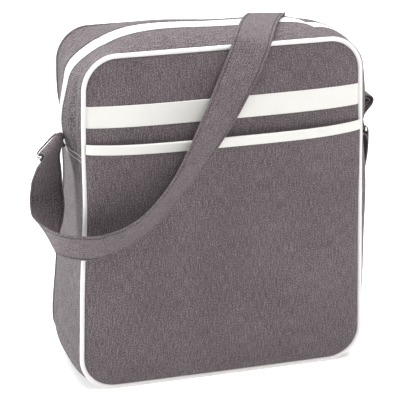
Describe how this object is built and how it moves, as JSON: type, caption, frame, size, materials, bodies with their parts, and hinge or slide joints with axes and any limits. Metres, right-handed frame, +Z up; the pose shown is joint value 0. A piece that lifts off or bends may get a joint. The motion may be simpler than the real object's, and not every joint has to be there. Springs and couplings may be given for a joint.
{
  "type": "zipped shoulder bag",
  "caption": "Upright grey canvas shoulder bag with a zip round its top, white piping and stripe, a white-bound front slip pocket and a wide strap on wire rings.",
  "frame": {"origin": "middle of the flat bottom that the bag stands on", "axes": "+X to the right seen from the front, the front with the pocket faces -Y, +Z up"},
  "size_m": [0.3993, 0.2096, 0.3968],
  "materials": {
    "canvas": "matte mottled twill",
    "strap_canvas": "matte mottled twill, stitched along both edges",
    "white_trim": "smooth satin coated cloth",
    "zip_tape": "matte woven tape",
    "zip_coil": "moulded coil",
    "bright_metal": "polished plating"
  },
  "bodies": {
    "root": {"front_panel": "canvas", "front_stripe": "white_trim", "front_pocket": "canvas", "pocket_binding": "white_trim", "back_panel": "canvas", "piping_front": "white_trim", "piping_back": "canvas", "lower_gusset": "canvas", "top_gusset_front": "canvas", "top_gusset_back": "canvas", "zip_tape_front": "zip_tape", "zip_tape_back": "zip_tape", "zip_coil": "zip_coil", "zip_slider": "bright_metal", "tab_left": "canvas", "tab_right": "canvas", "ring_left": "bright_metal", "ring_right": "bright_metal", "strap": "strap_canvas"}
  },
  "joints": []
}
